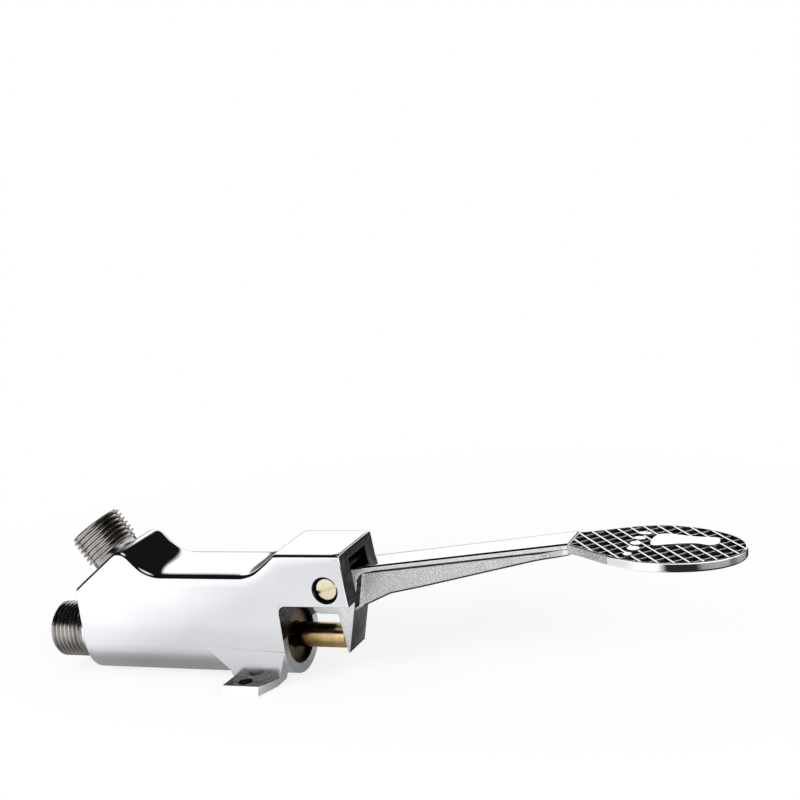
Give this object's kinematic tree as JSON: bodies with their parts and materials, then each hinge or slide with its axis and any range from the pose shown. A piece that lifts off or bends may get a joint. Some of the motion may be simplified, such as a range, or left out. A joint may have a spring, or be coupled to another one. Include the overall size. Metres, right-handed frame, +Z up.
{
  "type": "foot pedal tap valve",
  "caption": "Chromed floor-mounted tap valve with threaded inlet and slanted outlet; pressing its sprung pedal lever pushes a brass plunger that opens the valve disc.",
  "frame": {"origin": "on the floor, midway between the two foot screw holes", "axes": "+X along the barrel towards the pedal, +Z up"},
  "size_m": [0.2659, 0.0464, 0.0614],
  "materials": {
    "chrome_body": "polished chrome plating over cast brass",
    "chrome_lever": "chrome plating, polished on top, sand-cast texture on the sides",
    "nickel_thread": "dull nickel on cut thread",
    "brass_turned": "turned, warm",
    "brass_screw": "pale, lightly brushed",
    "brass_plain": "turned, slightly tarnished",
    "rubber_black": "matte",
    "nylon_white": "matte",
    "spring_steel": "drawn wire"
  },
  "bodies": {
    "valve": {"valve_body": "chrome_body", "inlet_nipple": "nickel_thread", "inlet_seal": "rubber_black", "outlet_nipple": "nickel_thread", "outlet_seal": "rubber_black", "seat_ring": "brass_plain", "gland_sleeve": "brass_plain", "sleeve_ring_front": "rubber_black", "sleeve_ring_rear": "rubber_black", "stem_ring_front": "rubber_black", "stem_ring_rear": "rubber_black", "gland_washer": "nylon_white", "gland_nut": "brass_plain", "pivot_pin": "brass_screw", "return_spring": "spring_steel"},
    "pedal": {"pedal_lever": "chrome_lever"},
    "plunger": {"plunger": "brass_turned", "valve_disc": "rubber_black", "disc_holder": "brass_plain", "disc_washer": "brass_plain", "disc_screw": "brass_plain"}
  },
  "joints": [
    {"name": "pedal_pivot", "type": "hinge", "parent": "valve", "child": "pedal", "pos_m": [0.035, 0, 0.0366], "axis": [0, 1, 0], "range_deg": [0, 14]},
    {"name": "plunger_slide", "type": "slide", "parent": "valve", "child": "plunger", "axis": [-1, 0, 0], "range_m": [0, 0.0055], "stiffness_N_per_m": 1500, "springref_m": -0.01, "deforming": ["return_spring"]}
  ],
  "couplings": [
    {"joint": "plunger_slide", "follows": "pedal_pivot", "m_per_rad": 0.02222}
  ]
}
